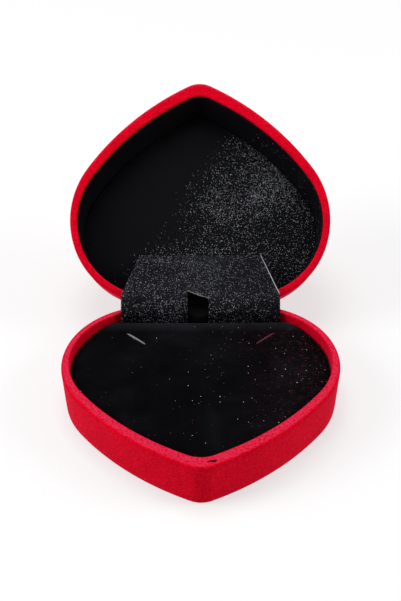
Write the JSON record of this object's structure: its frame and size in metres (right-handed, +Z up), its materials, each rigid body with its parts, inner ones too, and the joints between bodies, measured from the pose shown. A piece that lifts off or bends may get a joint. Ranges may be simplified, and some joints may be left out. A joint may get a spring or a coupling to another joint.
{
  "type": "jewelry gift box",
  "caption": "Open heart-shaped necklace gift box: flocked red base and lid shells on a sprung hinge, black velvet insert with chain slits, black satin lid lining and hinge cover.",
  "frame": {"origin": "middle of the base's footprint, on its flat underside", "axes": "+Z up, away from the surface it stands on; -Y towards the heart's point, which is the front; +X to the right; the hinge pin runs along X at the back"},
  "size_m": [0.0998, 0.1644, 0.074],
  "materials": {
    "red_flock": "red nylon flock on a moulded polystyrene shell",
    "black_velvet": "black short-pile velvet",
    "black_satin": "black woven satin",
    "grey_card": "grey board",
    "black_card": "black board",
    "foam": "soft polyurethane foam",
    "wadding": "polyester wadding",
    "zinc_plated_steel": "zinc-plated steel"
  },
  "bodies": {
    "base": {"base_shell": "red_flock", "hinge_leaf_base": "zinc_plated_steel", "hinge_rivets_base": "zinc_plated_steel", "hinge_pin": "zinc_plated_steel", "hinge_spring": "zinc_plated_steel"},
    "insert": {"insert_board": "grey_card", "insert_foam": "foam", "insert_velvet": "black_velvet"},
    "lid": {"lid_shell": "red_flock", "lid_ceiling_satin": "black_satin", "lid_ceiling_wadding": "wadding", "lid_ceiling_board": "grey_card", "lid_wall_satin_left": "black_satin", "lid_wall_satin_right": "black_satin", "hinge_leaf_lid": "zinc_plated_steel", "hinge_rivets_lid": "zinc_plated_steel", "hinge_cover_card": "black_card", "hinge_cover_satin": "black_satin"}
  },
  "joints": [
    {"name": "lid_hinge", "type": "hinge", "parent": "base", "child": "lid", "pos_m": [0, 0.04435, 0.01765], "axis": [1, 0, 0], "range_deg": [0, 140], "deforming": ["hinge_cover_satin", "hinge_spring"]},
    {"name": "insert_lift", "type": "slide", "parent": "base", "child": "insert", "axis": [0, 0, 1], "range_m": [0, 0.003]}
  ]
}
